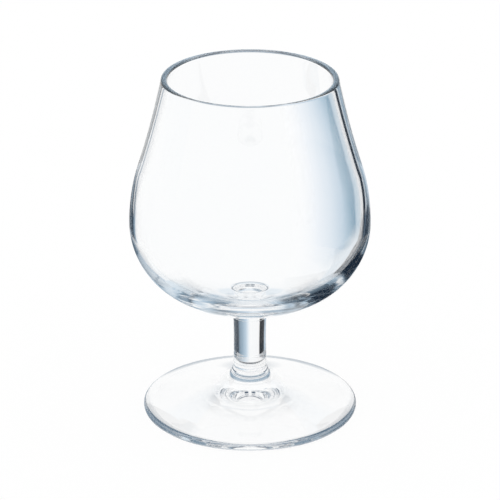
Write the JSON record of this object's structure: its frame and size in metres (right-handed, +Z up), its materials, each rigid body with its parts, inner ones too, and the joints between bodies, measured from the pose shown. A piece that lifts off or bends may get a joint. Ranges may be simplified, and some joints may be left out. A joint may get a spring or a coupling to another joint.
{
  "type": "brandy snifter",
  "caption": "Clear glass brandy snifter: a wide round bowl that narrows to a rolled lip, on a short solid stem and a sloping disc foot.",
  "frame": {"origin": "middle of the face that the foot rests on", "axes": "+Z up along the axis that the glass is turned about, from the foot to the lip"},
  "size_m": [0.08, 0.08, 0.1179],
  "materials": {
    "clear_glass": "fire-polished, clear and colourless"
  },
  "bodies": {
    "root": {"bowl": "clear_glass", "stem": "clear_glass", "foot": "clear_glass"}
  },
  "joints": []
}
